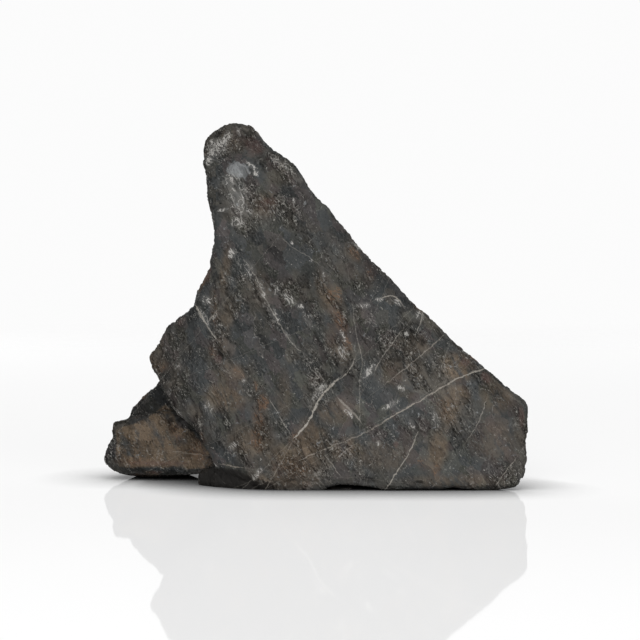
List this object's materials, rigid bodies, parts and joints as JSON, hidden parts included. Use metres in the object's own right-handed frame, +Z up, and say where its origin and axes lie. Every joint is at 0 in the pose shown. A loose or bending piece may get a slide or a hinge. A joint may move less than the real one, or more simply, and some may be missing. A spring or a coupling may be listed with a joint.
{
  "type": "aquarium rock",
  "caption": "Dark grey, veined aquarium rock: an upright triangular slab with a peak, a long flat base and a low foot behind one end.",
  "frame": {"origin": "on the surface the stone rests on, under the middle of its bounding box", "axes": "+Z up; the broad face looks towards -Y; +X along the stone's long base, towards its blunt end"},
  "size_m": [0.1842, 0.069, 0.1563],
  "materials": {
    "dark_stone": "matt, rough broken stone with fine grain, pale quartz veins and brown iron stains"
  },
  "bodies": {
    "root": {"rock": "dark_stone"}
  },
  "joints": []
}
